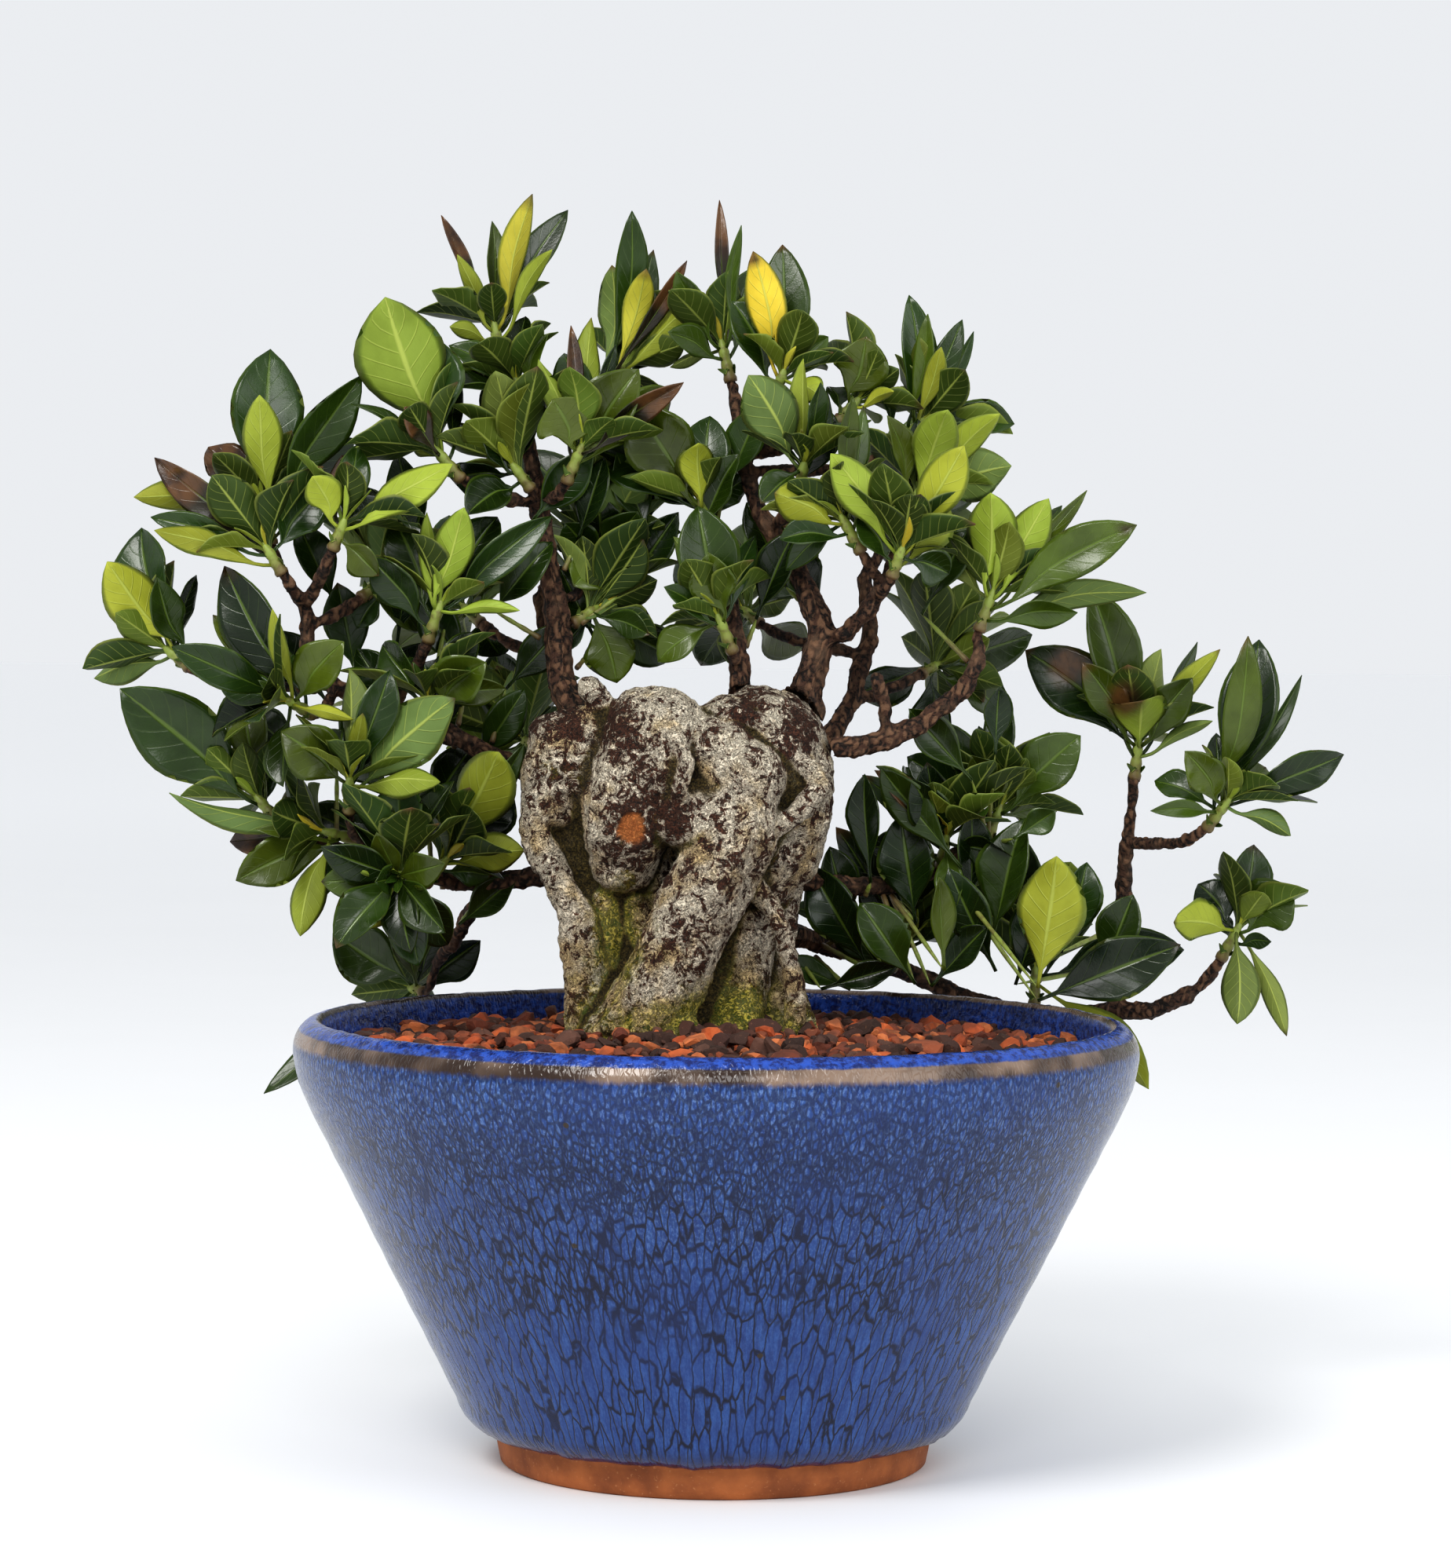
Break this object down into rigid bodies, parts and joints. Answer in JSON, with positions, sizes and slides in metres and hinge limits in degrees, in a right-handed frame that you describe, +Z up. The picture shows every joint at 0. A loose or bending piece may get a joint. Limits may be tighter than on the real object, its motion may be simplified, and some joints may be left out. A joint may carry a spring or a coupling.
{
  "type": "potted bonsai tree",
  "caption": "Bonsai tree with a lichen-covered twisted trunk and glossy leaves in a round conical pot with a blue crackle glaze and a bare clay foot",
  "frame": {"origin": "centre of the pot's foot on the ground, under the centre of the whole object's box", "axes": "+Z up, front of the tree towards -Y, +X to the right seen from the front"},
  "size_m": [0.3983, 0.2606, 0.3954],
  "materials": {
    "glaze": "glossy blue glaze with a dark crackle over a bare terracotta foot",
    "mesh": "black woven mesh",
    "soil": "loose fired-clay grit",
    "trunk_bark": "rough bark with white lichen and moss",
    "limb_bark": "dark flaky bark",
    "leaf": "thick glossy evergreen leaves, paler and duller below"
  },
  "bodies": {
    "root": {"pot": "glaze", "drainage_mesh": "mesh", "soil": "soil", "trunk": "trunk_bark", "limb_low_left": "limb_bark", "limb_upper_left": "limb_bark", "limb_spire": "limb_bark", "limb_middle": "limb_bark", "limb_top_right": "limb_bark", "limb_right": "limb_bark", "limb_back_left": "limb_bark", "limb_back_right": "limb_bark", "limb_right_low": "limb_bark", "limb_cascade": "limb_bark", "shoot_far_left": "leaf", "shoot_left_mid": "leaf", "shoot_left_front": "leaf", "shoot_big_leaf": "leaf", "shoot_left_low": "leaf", "shoot_left_under": "leaf", "shoot_rim_left": "leaf", "shoot_left_lower_inner": "leaf", "shoot_bud": "leaf", "shoot_round_leaf": "leaf", "shoot_upper_left": "leaf", "shoot_upper_left_low": "leaf", "shoot_cut_stub": "leaf", "shoot_mid_left": "leaf", "shoot_big_light_leaf": "leaf", "shoot_spire_tip": "leaf", "shoot_spire_mid": "leaf", "shoot_spire_low": "leaf", "shoot_crown_left": "leaf", "shoot_crown_top": "leaf", "shoot_inner_left": "leaf", "shoot_inner_low": "leaf", "shoot_olive": "leaf", "shoot_fork": "leaf", "shoot_top": "leaf", "shoot_yellow_leaf": "leaf", "shoot_crown_centre": "leaf", "shoot_notched": "leaf", "shoot_pair": "leaf", "shoot_right_front": "leaf", "shoot_right_upper": "leaf", "shoot_right_top": "leaf", "shoot_right": "leaf", "shoot_dark_right": "leaf", "shoot_far_right": "leaf", "shoot_cascade_end": "leaf", "shoot_rim_right": "leaf", "shoot_right_inner": "leaf", "shoot_right_dense": "leaf", "shoot_right_floor": "leaf", "shoot_back_left_low": "leaf", "shoot_back_left": "leaf", "shoot_back_top": "leaf", "shoot_back_mid": "leaf", "shoot_back_right": "leaf", "shoot_back_right_low": "leaf"}
  },
  "joints": []
}
